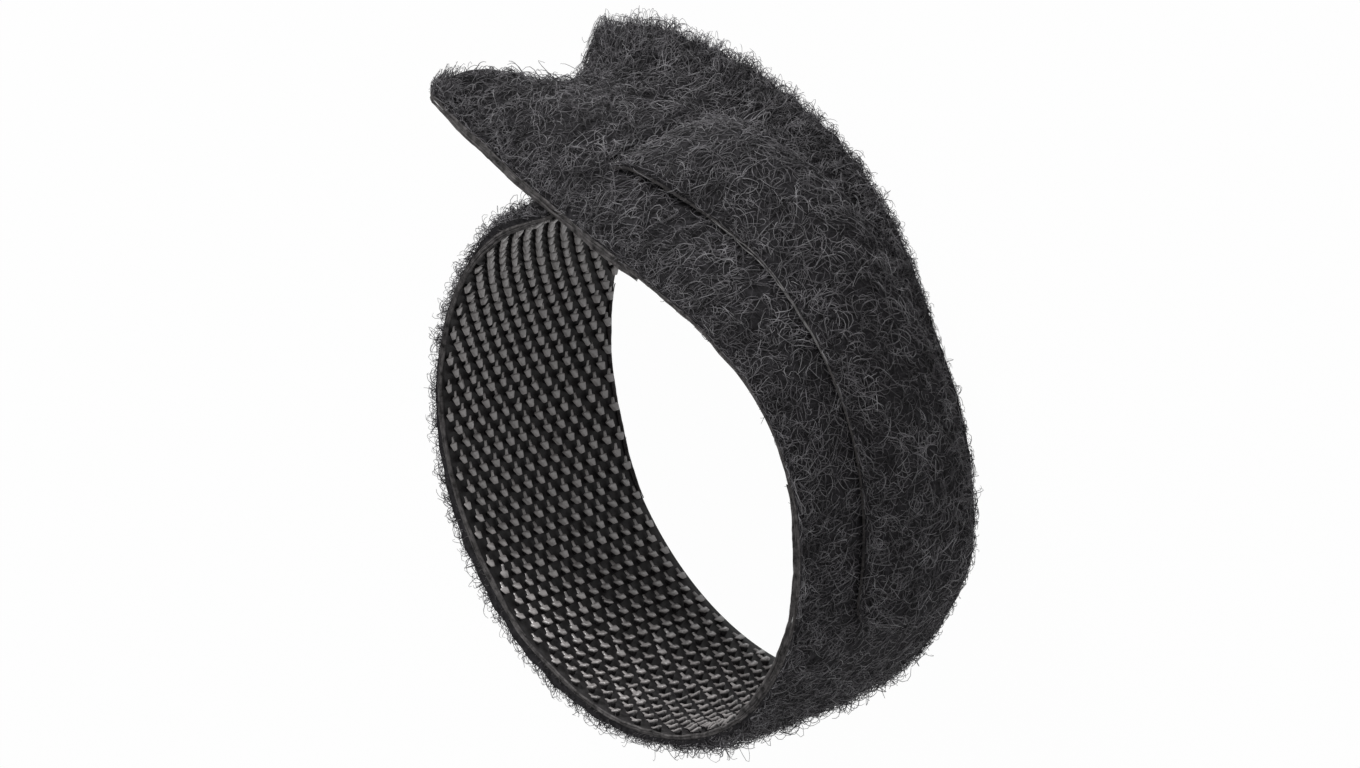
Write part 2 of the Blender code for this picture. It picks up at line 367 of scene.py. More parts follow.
def flare_at(u, v):
    """The ring opens a little at the far rim, low on its left."""
    return RING_FLARE * ease((v - 0.2) / 0.8) * ease((u - 0.084) / 0.010) * ease((0.124 - u) / 0.008)


def crown_at(u, q):
    """How far the strap bulges past its rims: it lies flat at the head's end and in the slot."""
    bulge = CROWN * (1 - (2 * q / WIDTH - 1) ** 2)
    if u < RING_END:
        return bulge * (0.25 + 0.75 * ease(u / HEAD_FLAT))
    if u < SLOT_CROSSING:
        return bulge * ease((SLOT_CROSSING - u) / (2 * SLOT_OPENING))
    return bulge * ease((u - SLOT_CROSSING) / ARCH_REACH)


def inner_face(u, v):
    """Place on the strap's inner face and the direction out of it; v runs from -1 to 1 across."""
    middle, half = width_at(u)
    q = middle + half * v
    (x, y), _, (nx, ny) = frame_at(strap_plan, u, q)
    out = crown_at(u, q) + ridge_at(u) * (1 - v * v) - droop_at(u) * v * v + flare_at(u, v)
    return (x + out * nx, y + out * ny, WIDTH - q), (nx, ny, 0)


class StrapForm:
    """The bent strap, sampled once, so that many points can be placed on it quickly."""

    STEP = 0.0004
    ACROSS = 25

    def __init__(self):
        self.rows = int(STRAP_END / self.STEP) + 1
        places = np.zeros((self.rows, self.ACROSS, 3))
        outs = np.zeros((self.rows, self.ACROSS, 3))
        self.step = STRAP_END / (self.rows - 1)
        self.halves = np.zeros(self.rows)
        for i in range(self.rows):
            u = min(i * self.step, STRAP_END - 1e-6)
            self.halves[i] = width_at(u)[1]
            for j in range(self.ACROSS):
                places[i, j], outs[i, j] = inner_face(u, 2 * j / (self.ACROSS - 1) - 1)
        low = np.array(CAD_BOX[0])
        high = np.array(CAD_BOX[1])
        faces = np.concatenate([places + outs * SOLID_THICKNESS, places - outs * SOLID_HOOKS])
        self.shift = (low + high) / 2 - (faces.min((0, 1)) + faces.max((0, 1))) / 2
        self.shift[2] = 0
        self.places = places
        self.outs = outs
        span = np.linalg.norm(np.gradient(places, axis=1), axis=2) * (self.ACROSS - 1) / 2
        self.stretch = (span / np.maximum(self.halves, 0.001)[:, None])[..., None]

    def read(self, grid, u, v):
        """Values of a sampled grid at places along and across the strap."""
        a = np.clip(u / self.step, 0, self.rows - 1)
        i = np.minimum(a.astype(int), self.rows - 2)
        s = u / self.step - i
        b = (v + 1) / 2 * (self.ACROSS - 1)
        j = np.clip(b.astype(int), 0, self.ACROSS - 2)
        t = b - j
        s = s[..., None]
        t = t[..., None]
        low = grid[i, j] * (1 - t) + grid[i, j + 1] * t
        high = grid[i + 1, j] * (1 - t) + grid[i + 1, j + 1] * t
        return low * (1 - s) + high * s

    def half(self, u):
        """Half the strap's width at places along it."""
        return np.interp(u, np.arange(self.rows) * self.step, self.halves)

    def stretched(self, u, v):
        """How much longer the surface is across, at each place, than its flat width."""
        return np.maximum(self.read(self.stretch, u, np.clip(v, -1, 1))[..., 0], 1)

    def place(self, u, v, depth):
        """World places of points at depth outside the inner face; arrays of equal shape."""
        spot = self.read(self.places, u, v)
        out = self.read(self.outs, u, v)
        out /= np.linalg.norm(out, axis=-1, keepdims=True)
        return spot + out * depth[..., None] + self.shift


FORM = StrapForm()


def new_object(name, data):
    """An object with its data, linked to the scene."""
    item = bpy.data.objects.new(name, data)
    bpy.context.scene.collection.objects.link(item)
    return item


def ride_as_strap(piece):
    """A finished piece rides on the strap's body."""
    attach(piece, "root")


# Materials

def add_node(tree, kind, **values):
    """A shader node, with its inputs or its settings given by name."""
    node = tree.nodes.new(kind)
    for name, value in values.items():
        if name in node.inputs:
            node.inputs[name].default_value = value
        else:
            setattr(node, name, value)
    return node


def noise_group():
    """Shared effect: soft patches of light and dark, with its own scale and strength."""
    name = "fibre_mottle"
    if name in bpy.data.node_groups:
        return bpy.data.node_groups[name]
    group = bpy.data.node_groups.new(name, "ShaderNodeTree")
    group.interface.new_socket("Colour", in_out="INPUT", socket_type="NodeSocketColor")
    for socket in ("Scale", "Darkest", "Lightest"):
        group.interface.new_socket(socket, in_out="INPUT", socket_type="NodeSocketFloat")
    group.interface.new_socket("Colour", in_out="OUTPUT", socket_type="NodeSocketColor")
    group.interface.new_socket("Height", in_out="OUTPUT", socket_type="NodeSocketFloat")
    start = add_node(group, "NodeGroupInput")
    end = add_node(group, "NodeGroupOutput")
    where = add_node(group, "ShaderNodeTexCoord")
    noise = add_node(group, "ShaderNodeTexNoise", Detail=4.0, Roughness=0.65)
    level = add_node(group, "ShaderNodeMapRange")
    tint = add_node(group, "ShaderNodeVectorMath", operation="SCALE")
    group.links.new(where.outputs["Object"], noise.inputs["Vector"])
    group.links.new(start.outputs["Scale"], noise.inputs["Scale"])
    group.links.new(noise.outputs["Fac"], level.inputs["Value"])
    level.inputs["From Min"].default_value = 0.3
    level.inputs["From Max"].default_value = 0.7
    group.links.new(start.outputs["Darkest"], level.inputs["To Min"])
    group.links.new(start.outputs["Lightest"], level.inputs["To Max"])
    group.links.new(start.outputs["Colour"], tint.inputs[0])
    group.links.new(level.outputs["Result"], tint.inputs["Scale"])
    group.links.new(tint.outputs["Vector"], end.inputs["Colour"])
    group.links.new(noise.outputs["Fac"], end.inputs["Height"])
    return group


def nylon_material(name, colour):
    """A nylon finish, mottled at its own scale."""
    scale, darkest, lightest, roughness, bump, shine = FINISHES[name]
    material = bpy.data.materials.new(name)
    material.use_nodes = True
    tree = material.node_tree
    principled = tree.nodes["Principled BSDF"]
    mottle = add_node(tree, "ShaderNodeGroup")
    mottle.node_tree = noise_group()
    mottle.inputs["Colour"].default_value = colour
    mottle.inputs["Scale"].default_value = scale
    mottle.inputs["Darkest"].default_value = darkest
    mottle.inputs["Lightest"].default_value = lightest
    relief = add_node(tree, "ShaderNodeBump", Strength=bump, Distance=0.0001)
    tree.links.new(mottle.outputs["Colour"], principled.inputs["Base Color"])
    tree.links.new(mottle.outputs["Height"], relief.inputs["Height"])
    tree.links.new(relief.outputs["Normal"], principled.inputs["Normal"])
    principled.inputs["Roughness"].default_value = roughness
    principled.inputs["Specular IOR Level"].default_value = shine
    return material


def hook_material(crown, foot):
    """Moulded glossy nylon, pale on the hooks' crowns as a painted reflection, and darkened down their sides
    to the foot colour as painted shade.
    """
    material = nylon_material("hooks_painted_reflection_and_shade", crown)
    tree = material.node_tree
    principled = tree.nodes["Principled BSDF"]
    # Painted shade: each hook's height share darkens its colour from the crown down to the foot colour.
    rise = add_node(tree, "ShaderNodeAttribute", attribute_name="rise")
    painted_shade = add_node(tree, "ShaderNodeMapRange")
    painted_shade.inputs["From Min"].default_value = 0.72
    painted_shade.inputs["From Max"].default_value = 0.97
    blend = add_node(tree, "ShaderNodeMix", data_type="RGBA")
    colour = principled.inputs["Base Color"].links[0].from_socket
    tree.links.new(rise.outputs["Fac"], painted_shade.inputs["Value"])
    tree.links.new(painted_shade.outputs["Result"], blend.inputs["Factor"])
    blend.inputs["A"].default_value = foot
    tree.links.new(colour, blend.inputs["B"])
    tree.links.new(blend.outputs["Result"], principled.inputs["Base Color"])
    return material


# Backing

def divided(breaks, pitch):
    """Stations from the first break to the last, with each break on a station."""
    stations = [breaks[0]]
    for start, end in zip(breaks, breaks[1:]):
        count = max(1, round((end - start) / pitch))
        stations += [start + (end - start) * (i + 1) / count for i in range(count)]
    return stations


def lift_copy(bm, faces, **options):
    """Copies faces one unit higher, joined to the old ones by walls, and gives back the copies."""
    made = bmesh.ops.extrude_face_region(bm, geom=faces, **options)["geom"]
    bmesh.ops.translate(bm, verts=[item for item in made if isinstance(item, bmesh.types.BMVert)],
                        vec=(0, 0, 1))
    return [item for item in made if isinstance(item, bmesh.types.BMFace)]


def flat_backing(pitch):
    """The die-cut blank as three layers one unit apart: hook web, cloth and packed pile; with its slot."""
    slot_start = SLOT_FROM_END - CLOSED_SLOT / 2
    slot_end = SLOT_FROM_END + CLOSED_SLOT / 2
    slot_near = SLOT_NEAR + CLOSED_ENDS
    slot_far = SLOT_FAR - CLOSED_ENDS
    rows = divided((0, HEAD_CORNER), HEAD_CORNER / 4)
    rows += divided((HEAD_CORNER, slot_start, slot_end, STRAP_END - TAIL_CORNER), pitch)[1:]
    rows += divided((STRAP_END - TAIL_CORNER, STRAP_END), TAIL_CORNER / 8)[1:]
    columns = [2 * q / WIDTH - 1 for q in divided((0, slot_near, slot_far, WIDTH), pitch)]
    bm = bmesh.new()
    bmesh.ops.create_grid(bm, x_segments=len(rows) - 1, y_segments=len(columns) - 1, size=0.5)
    for vert in bm.verts:
        vert.co.x = rows[round((vert.co.x + 0.5) * (len(rows) - 1))]
        vert.co.y = columns[round((vert.co.y + 0.5) * (len(columns) - 1))]
    in_slot = []
    for face in bm.faces:
        middle = face.calc_center_median()
        if slot_start < middle.x < slot_end and slot_near < (middle.y + 1) * WIDTH / 2 < slot_far:
            in_slot.append(face)
    bmesh.ops.delete(bm, geom=in_slot, context="FACES")
    cloth = lift_copy(bm, list(bm.faces), use_keep_orig=True)
    lift_copy(bm, cloth)
    bmesh.ops.delete(bm, geom=cloth, context="FACES_ONLY")
    bmesh.ops.recalc_face_normals(bm, faces=list(bm.faces))
    return bm


BACKING_PITCH = 0.0005        # size of the backing's faces
PRESSED_LENGTH = 0.0022       # the slot presses the pile over about this length each way
RIM_SINK = 0.2                # share of the pile's swell by which the ground stays below its fibres

# Height of the hooks at the two rims, as shares, at places along the strap
RIM_PLACES = (0, 0.028, 0.040, 0.055, 0.066, 0.075, 0.090, 0.112, 0.124, 0.145, 0.160)
NEAR_RIM_HOOKS = (1.1, 1.1, 0.3, 0.5, 1.1, 0.9, 0.4, 0.4, 0.4, 0.5, 0.5)
FAR_RIM_HOOKS = (0.5, 0.5, 0.5, 0.5, 0.5, 0.3, 0.1, 0.15, 1.0, 1.1, 0.5)

# Places along the strap, how lofty the pile stands there, and how far it swells over its two rims
LOFT_PLACES = (0, 0.010, 0.025, 0.036, 0.045, 0.060, 0.072, 0.083, 0.090, 0.100, 0.118, 0.136, 0.150, 0.161,
               0.170)
LOFT_SHARES = (1.0, 1.0, 0.8, 0.8, 0.55, 0.7, 0.3, 1.2, 0.8, 0.95, 1.1, 1.0, 1.0, 0.5, 0.7)
NEAR_PLACES = (0.045, 0.060, 0.072, 0.083, 0.092, 0.100, 0.107, 0.118, 0.128, 0.136, 0.144, 0.150, 0.161)
NEAR_SWELL = (0, 0.0002, 0.0003, 0.0004, 0.0005, 0.0010, 0.0014, 0.0012, 0.0005, -0.0001, -0.0001, 0.0006, 0)
FAR_PLACES = (0, 0.004, 0.007, 0.014, 0.020, 0.029, 0.036, 0.045, 0.058, 0.064, 0.072, 0.083, 0.100, 0.161,
              0.170)
FAR_SWELL = (0.0002, 0.0014, 0.0019, 0.0017, 0.0019, 0.0019, 0.0013, 0.0001, 0.0002, 0.0008, 0, 0.0001, 0, 0,
             0.0002)


def pressed_at(u):
    """Share of the pile's depth left where the strap threads its own slot."""
    return 1 - 0.5 * np.exp(-((u - SLOT_CROSSING) / PRESSED_LENGTH) ** 2)


def loft_at(u):
    """How lofty the pile stands at places along the strap."""
    return np.interp(u, LOFT_PLACES, LOFT_SHARES)


def swell_at(u, v):
    """Extra depth of the pile where it is brushed out over a rim."""
    near = np.interp(u, NEAR_PLACES, NEAR_SWELL) * np.clip(-v * 1.4 - 0.4, 0, 1)
    far = np.interp(u, FAR_PLACES, FAR_SWELL) * np.clip(v * 1.4 - 0.4, 0, 1)
    return near + far


def ground_depth(u, v, sizes):
    """Depth of backing and packed pile: thin at the cut edges, deeper and lumpy mid-width."""
    inward = 1 - np.minimum(np.abs(v), 1) ** 4
    lumps = 0.5 + 0.28 * np.sin(u * 2300 + 3 * v + 2 * np.sin(7 * v)) + 0.22 * np.sin(u * 1350 - 6 * v + 1)
    pile = sizes.ground * inward * loft_at(u) * (0.4 + 0.6 * lumps) + swell_at(u, v) * (0.7 + 0.3 * lumps)
    return (sizes.backing + pile) * pressed_at(u)


class TIE_OT_backing(bpy.types.Operator):
    """Hook web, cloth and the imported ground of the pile, bent from the flat blank"""

    bl_idname = "cable_tie.backing"
    bl_label = "Backing"

    def execute(self, context):
        sizes = context.scene.tie_sizes
        colours = context.scene.tie_colours
        bm = flat_backing(BACKING_PITCH)
        flat = np.array([vert.co[:] for vert in bm.verts])
        u, v, layer = flat.T
        packed = ground_depth(u, v, sizes) - RIM_SINK * swell_at(u, v)
        depth = np.where(layer < 1.5, layer * sizes.cloth, packed)
        placed = FORM.place(u, v, depth)
        for face in bm.faces:
            layers = [round(vert.co.z) for vert in face.verts]
            face.material_index = 0 if max(layers) == 0 else 1 if min(layers) == 0 else 2
            face.smooth = max(layers) == min(layers)
        for vert, spot in zip(bm.verts, placed):
            vert.co = spot
        mesh = bpy.data.meshes.new("backing_sheet")
        bm.to_mesh(mesh)
        bm.free()
        mesh.materials.append(nylon_material("hook_web", colours.web))
        mesh.materials.append(nylon_material("cut_edge", colours.cut_edge))
        # The packed pile's face takes the ground colour, which is painted shade.
        mesh.materials.append(nylon_material("pile_ground_painted_shade", colours.ground))
        piece = new_object("backing_sheet", mesh)
        ride_as_strap(piece)
        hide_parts("tie_strap")
        return {"FINISHED"}


# Threads along the cut edges: near rim (-1) or far rim (1), first and last place along the strap, and the
# depths of the threads outwards of the inner face
EDGE_RUNS = (
    (-1, 0.0008, 0.029, (-0.0005, -0.00039, -0.00028, -0.00017, -0.00006, 0.00005, 0.00016, 0.00028)),
    (-1, 0.026, 0.060, (0.00008, 0.00026)),
    (-1, 0.053, 0.079, (-0.00052, -0.00041, -0.0003, -0.00019, -0.00008, 0.00004)),
    (-1, 0.074, 0.112, (0.00004, 0.0002)),
    (-1, 0.108, 0.156, (-0.0001, 0.00008, 0.00024)),
    (1, 0.0008, 0.060, (0.0001, 0.0003)),
    (1, 0.116, 0.136, (-0.00028, -0.00012, 0.00004, 0.0002)),
)
TONGUE_RUNS = ((-1, 0.1740, 0.190, (0.00012, 0.00022)),)
THREAD_STEP = 0.0004
THREAD_TAPER = 0.004          # length over which a thread thins out at each end
FADE_DEPTH = -0.0004          # threads past this on the hooks' side start and end at the inner face
THREAD_REST = 0.00012         # least height of a thread's middle line over the floor


def waver(rng, count, window, size):
    """Smooth random wander: noise summed over a window of steps."""
    noise = rng.normal(0, 1, count + window - 1)
    return np.convolve(noise, np.ones(window) / math.isqrt(window), "valid") * size


def threads_piece(name, rng, runs, beyond, thickness, material):
    """Threads laid side by side along the cut edges, each a little wavy."""
    data = thread_data(name, thickness, material)
    for side, start, end, depths in runs:
        count = int((end - start) / THREAD_STEP)
        u = np.linspace(start, end, count)
        half = FORM.half(u)
        from_end = np.minimum(u - start, end - u)
        bow = waver(rng, count, window=17, size=0.00006)
        for depth in depths:
            wander = waver(rng, count, window=9, size=0.00002)
            sway = waver(rng, count, window=9, size=0.00004)
            x = side * (half + beyond + sway)
            level = depth * (np.minimum(1, from_end / THREAD_TAPER) if depth < FADE_DEPTH else 1)
            places = FORM.place(u, x / half, (level + bow + wander) * pressed_at(u))
            places[:, 2] = np.maximum(places[:, 2], THREAD_REST)
            add_thread(data, places, np.minimum(1, 0.4 + from_end / THREAD_TAPER))
    ride_as_strap(new_object(name, data))


class TIE_OT_edge_threads(bpy.types.Operator):
    """Warp threads of the cloth that show along both cut edges"""

    bl_idname = "cable_tie.edge_threads"
    bl_label = "Edge Threads"

    def execute(self, context):
        colours = context.scene.tie_colours
        rng = np.random.default_rng(3)
        edge = nylon_material("edge_threads", colours.cut_edge)
        threads_piece("edge_threads", rng, EDGE_RUNS, beyond=-0.00005, thickness=0.00025, material=edge)
        # The tongue's edge threads take the paler colour, painted light.
        painted_lit_edge = nylon_material("tongue_threads_painted_light", colours.tongue_edge_painted_light)
        threads_piece("tongue_threads_painted_light", rng, TONGUE_RUNS, beyond=0.00008, thickness=0.00013,
                      material=painted_lit_edge)
        return {"FINISHED"}


# Hooks

# One hook of unit height: radius of the stud at its foot and at its crown, cut of its corners, and how wide
# the crown's border is and how far its middle stands above it
HOOK_FOOT = 0.00030
HOOK_TOP = 0.00057
HOOK_CORNER = 0.00010
CROWN_BORDER = 0.00009
CROWN_RISE = 0.14
# The hook's spike, in steps away from its crown: reach, share of width, share of thickness
SPIKE = ((0.00006, 0.48, 0.40), (0.00032, 0.92, 0.8), (0.00022, 0.9, 0.6))
HOOK_SLOPE = 750              # the crown falls from its heel towards the spike
SLOPE_END = 0.0003            # and the spike runs on level

# How much hooks differ: turn in radians, height as a share, and lean in each direction
HOOK_TURN = 0.04
HOOK_UNEVEN = 0.03
HOOK_LEAN = 0.12

# No hooks stand this close to the tip, the head's end, the tongue's rims, the other rims and the slot
TIP_MARGIN = 0.0015
END_MARGIN = 0.0006
TONGUE_MARGIN = 0.0009
RIM_MARGIN = 0.0002
SLOT_MARGIN = 0.001
RIM_BAND = 0.0014             # hooks this near a rim take on the heights given for it


def one_hook():
    """A moulded hook of unit height: a stud that widens to a shield-shaped crown, with a spike ahead."""
    bm = bmesh.new()
    bmesh.ops.create_cone(bm, cap_ends=True, segments=4, radius1=HOOK_FOOT, radius2=HOOK_TOP, depth=1,
                          matrix=Matrix.Translation((0, 0, 0.5)) @ Matrix.Rotation(math.pi / 4, 4, "Z"))
    upright = [edge for edge in bm.edges if abs(edge.verts[0].co.z - edge.verts[1].co.z) > 0.5]
    bmesh.ops.bevel(bm, geom=upright, offset=HOOK_CORNER, segments=1, affect="EDGES", profile=0.5,
                    material=-1)
    foot = [face for face in bm.faces if face.normal.z < -0.9]
    bmesh.ops.delete(bm, geom=foot, context="FACES_ONLY")
    crown = [vert for vert in bm.verts if vert.co.z > 0.5]
    heel = [vert for vert in crown if vert.co.x < -0.0003]
    bmesh.ops.scale(bm, verts=heel, vec=(1, 0.6, 1))
    bmesh.ops.scale(bm, verts=crown, vec=(0.84, 1.04, 1))
    ahead = max(bm.faces, key=lambda face: face.normal.x)
    plateau = max(bm.faces, key=lambda face: face.normal.z)
    bmesh.ops.inset_individual(bm, faces=[plateau], thickness=CROWN_BORDER)
    bmesh.ops.translate(bm, verts=plateau.verts, vec=(0, 0, CROWN_RISE))
    for reach, width, thick in SPIKE:
        made = bmesh.ops.extrude_face_region(bm, geom=[ahead])["geom"]
        bmesh.ops.delete(bm, geom=[ahead], context="FACES_ONLY")
        ahead = next(item for item in made if isinstance(item, bmesh.types.BMFace))
        middle = ahead.calc_center_median()
        top = max(vert.co.z for vert in ahead.verts)
        to_top = Matrix.Translation((-middle.x, 0, -top))
        bmesh.ops.scale(bm, verts=ahead.verts, vec=(0.3, width, thick), space=to_top)
        bmesh.ops.translate(bm, verts=ahead.verts, vec=(reach, 0, 0))
    for vert in bm.verts:
        if vert.co.z > 0.3:
            vert.co.z -= HOOK_SLOPE * min(vert.co.x, SLOPE_END)
    bmesh.ops.recalc_face_normals(bm, faces=list(bm.faces))
    for face in bm.faces:
        face.smooth = True
    return bm


def hook_spots(pitch, spacing):
    """Foot of each hook on the blank: rows one pitch apart, every other row moved half a pitch."""
    spots = []
    for row in range(int(STRAP_END / pitch)):
        u = (row + 0.5) * pitch
        middle, half = width_at(u)
        if u > STRAP_END - TIP_MARGIN or u < END_MARGIN:
            continue
        offset = 0.25 if row % 2 else -0.25
        for column in range(-8, 9):
            x = (column + offset) * spacing
            in_slot = (abs(u - SLOT_FROM_END) < CLOSED_SLOT / 2 + SLOT_MARGIN
                       and SLOT_NEAR < middle + x < SLOT_FAR)
            margin = TONGUE_MARGIN if u > SLOT_CROSSING else RIM_MARGIN
            if abs(x) < half - margin and not in_slot:
                spots.append((u, x, half))
    return np.array(spots)


class TIE_OT_hooks(bpy.types.Operator):
    """Moulded hooks over the whole inner face"""

    bl_idname = "cable_tie.hooks"
    bl_label = "Hooks"

    def execute(self, context):
        sizes = context.scene.tie_sizes
        colours = context.scene.tie_colours
        rng = np.random.default_rng(11)
        hook = one_hook()
        shape = np.array([vert.co[:] for vert in hook.verts])
        # Height share on each hook, read by the material to paint shade down the hooks' sides.
        painted_shade_height = np.clip(shape[:, 2] + HOOK_SLOPE * np.minimum(shape[:, 0], SLOPE_END), 0, 1)
        pattern = bpy.data.meshes.new("one_hook")
        hook.to_mesh(pattern)
        hook.free()
        spots = hook_spots(sizes.hook_pitch, sizes.hook_spacing)
        count = len(spots)
        field = bmesh.new()
        for _ in range(count):
            field.from_mesh(pattern)
        foot, offset, half = (spots[:, i:i + 1] for i in range(3))
        sway = rng.normal(0, HOOK_TURN, (count, 1))
        u = foot + shape[:, 0] - shape[:, 1] * sway
        x = offset + shape[:, 1] + shape[:, 0] * sway
        inward = np.clip((half - np.abs(offset)) / RIM_BAND, 0, 1)
        near = np.interp(foot, RIM_PLACES, NEAR_RIM_HOOKS)
        far = np.interp(foot, RIM_PLACES, FAR_RIM_HOOKS)
        low = inward + (1 - inward) * np.where(offset < 0, near, far)
        standing = np.array([hooks_at(s) for s in foot[:, 0]])[:, None]
        standing = standing * rng.normal(1, HOOK_UNEVEN, (count, 1))
        tilt = rng.normal(0, HOOK_LEAN, (count, 1)) * shape[:, 0]
        tilt = tilt + rng.normal(0, HOOK_LEAN, (count, 1)) * shape[:, 1]
        height = (sizes.hook_height * shape[:, 2] + tilt * (shape[:, 2] > 0)) * low * standing
        placed = FORM.place(np.clip(u, 0, STRAP_END), x / half, -height).reshape(-1, 3)
        placed[:, 2] = np.maximum(placed[:, 2], 0)
        for vert, spot in zip(field.verts, placed):
            vert.co = spot
        bmesh.ops.recalc_face_normals(field, faces=list(field.faces))
        mesh = bpy.data.meshes.new("hook_field")
        field.to_mesh(mesh)
        field.free()
        # The height share is stored on the points for the painted shade down the hooks' sides.
        rise = mesh.attributes.new("rise", "FLOAT", "POINT")
        rise.data.foreach_set("value", np.tile(painted_shade_height, count))
        mesh.materials.append(hook_material(colours.hooks, colours.web))
        ride_as_strap(new_object("hook_field", mesh))
        return {"FINISHED"}


# Pile

FIBRE_POINTS = 6
FIBRE_REST = 0.00003          # least height of a fibre over the floor
ROOT_MARGIN = 0.0002          # no roots this near the strap's two ends
TUFT_SPACING = 0.0013
TUFT_PULL = 0.3               # share of the way to its tuft that a root is drawn

# Where the tongue covers the wall: from this far past the slot to this far short of the tip, and from this
# far inside the slot's near end to this far past its far end
COVER_START = 0.004
COVER_STOP = 0.003
COVER_NEAR = 0.0040
COVER_FAR = 0.0004

# Kinds of pile fibre: shortest, longest, rise, curl
MATTED = (0.0012, 0.0024, 0.00036, 1.3)
LOOPED = (0.0012, 0.0024, 0.00058, 1.5)
FLYAWAY = (0.0010, 0.0020, 0.00075, 1.6)
FRINGE = (0.0008, 0.0016, 0.00075, 1.5)

# Shares of the fringe at the head's end, on the head's far rim, and of the rest on the far rim
END_FRINGE = 0.10
HEAD_FRINGE = 0.25
FAR_FRINGE = 0.45


def thread_data(name, thickness, material):
    """Empty curve data whose splines are drawn as thin round threads."""
    data = bpy.data.curves.new(name, "CURVE")
    data.dimensions = "3D"
    data.bevel_depth = thickness / 2
    data.bevel_resolution = 0
    data.use_fill_caps = True
    data.materials.append(material)
    return data


def add_thread(data, places, radii):
    """One thread through a row of places, with a share of full thickness at each."""
    spline = data.splines.new("POLY")
    spline.points.add(len(places) - 1)
    spline.points.foreach_set("co", np.column_stack([places, np.ones(len(places))]).ravel())
    spline.points.foreach_set("radius", radii)


def fibres_piece(name, paths, thickness, material):
    """Fibres as one curve object: paths is an array of fibres by points by place."""
    data = thread_data(name, thickness, material)
    taper = np.linspace(1, 0.5, paths.shape[1])
    for places in paths:
        add_thread(data, places, taper)
    ride_as_strap(new_object(name, data))


def under_tongue(u, q):
    """True where the tongue covers the wall, so that no pile is seen there."""
    start = SLOT_FROM_END + COVER_START
    end = THREAD_LINE + ARCH_REACH + STRAP_END - TAIL_DOWN - COVER_STOP
    return (u > start) & (u < end) & (q > SLOT_NEAR + COVER_NEAR) & (q < SLOT_FAR + COVER_FAR)


def pile_roots(rng, count):
    """Roots over the outer face, drawn together into tufts: along, offset across, distance from tuft."""
    parts = []
    found = 0
    shove = np.random.default_rng(5).uniform(0.15, 0.85, (400, 60, 2))
    while found < count:
        u = rng.uniform(ROOT_MARGIN, STRAP_END - ROOT_MARGIN, count)
        x = rng.uniform(-WIDTH / 2, WIDTH / 2, count)
        middle = np.where(u > SLOT_CROSSING, SLOT_FROM_RIM, WIDTH / 2)
        keep = (np.abs(x) < FORM.half(u)) & ~under_tongue(u, middle + x)
        u, x = u[keep], x[keep]
        i = (u / TUFT_SPACING).astype(int)
        j = ((x + WIDTH) / TUFT_SPACING).astype(int)
        tuft_u = (i + shove[i, j, 0]) * TUFT_SPACING
        tuft_x = (j + shove[i, j, 1]) * TUFT_SPACING - WIDTH
        apart = np.hypot(u - tuft_u, x - tuft_x) / TUFT_SPACING
        drawn_u = u + TUFT_PULL * (tuft_u - u)
        drawn_x = x + TUFT_PULL * (tuft_x - x)
        parts.append(np.column_stack([drawn_u, drawn_x, apart]))
        found += len(u)
    return np.concatenate(parts)[:count].T


def fringe_roots(rng, count):
    """Roots close to the two rims and the head's end, where the pile's outline shows."""
    u = rng.uniform(ROOT_MARGIN, STRAP_END - ROOT_MARGIN, count)
    u = np.where(rng.random(count) < END_FRINGE, rng.uniform(ROOT_MARGIN, 0.002, count), u)
    lofty = rng.random(count) < HEAD_FRINGE
    u = np.where(lofty, rng.uniform(0.001, 0.045, count), u)
    half = FORM.half(u)
    inset = rng.gamma(1.5, 0.0006, count)
    x = np.where(lofty | (rng.random(count) < FAR_FRINGE), 1, -1) * (half - inset)
    return u, np.clip(x, -half, half), rng.uniform(0.2, 0.8, count)


def pile_paths(rng, count, sizes, kind):
    """Curled, brushed loops; kind gives shortest and longest length, rise, and curl."""
    shortest, longest, rise, curl = kind
    u, x, apart = fringe_roots(rng, count) if kind is FRINGE else pile_roots(rng, count)
    half = FORM.half(u)
    length = rng.uniform(shortest, longest, count)
    brushed = math.pi / 2 + 0.5 * np.sin(u * 190 + x * 300) + 0.4 * np.sin(u * 70 - x * 500)
    heading = brushed + rng.normal(0, 0.7, count) + math.pi * rng.integers(0, 2, count)
    bend = rng.normal(0, curl, count)
    twist = rng.normal(0, curl * 1.2, count) - bend
    top = rise * loft_at(u) * rng.gamma(5, 0.2, count) * (1.25 - 0.6 * apart)
    reach = rng.uniform(0.55, 0.95, count)
    past = rng.gamma(2, 0.00008, count)
    paths = np.zeros((count, FIBRE_POINTS, 3))
    step = length / (FIBRE_POINTS - 1)
    base = ground_depth(u, np.clip(x / half, -1, 1), sizes) - 0.0001
    if kind is FRINGE:
        base *= np.where(half - np.abs(x) < 0.0004, rng.uniform(0.45, 1, count), 1)
    for k in range(FIBRE_POINTS):
        s = k / (FIBRE_POINTS - 1)
        if k:
            turn = heading + bend * s + twist * s * s
            u = u + step * np.cos(turn)
            sideways = step * np.sin(turn) / FORM.stretched(u, x / half)
            x = np.clip(x + sideways, -half - past, half + past)
        depth = base + top * np.sin(math.pi * s * reach) ** 0.8
        paths[:, k] = FORM.place(np.clip(u, -past, STRAP_END + past), x / half, depth)
    paths[:, :, 2] = np.maximum(paths[:, :, 2], FIBRE_REST)
    return paths


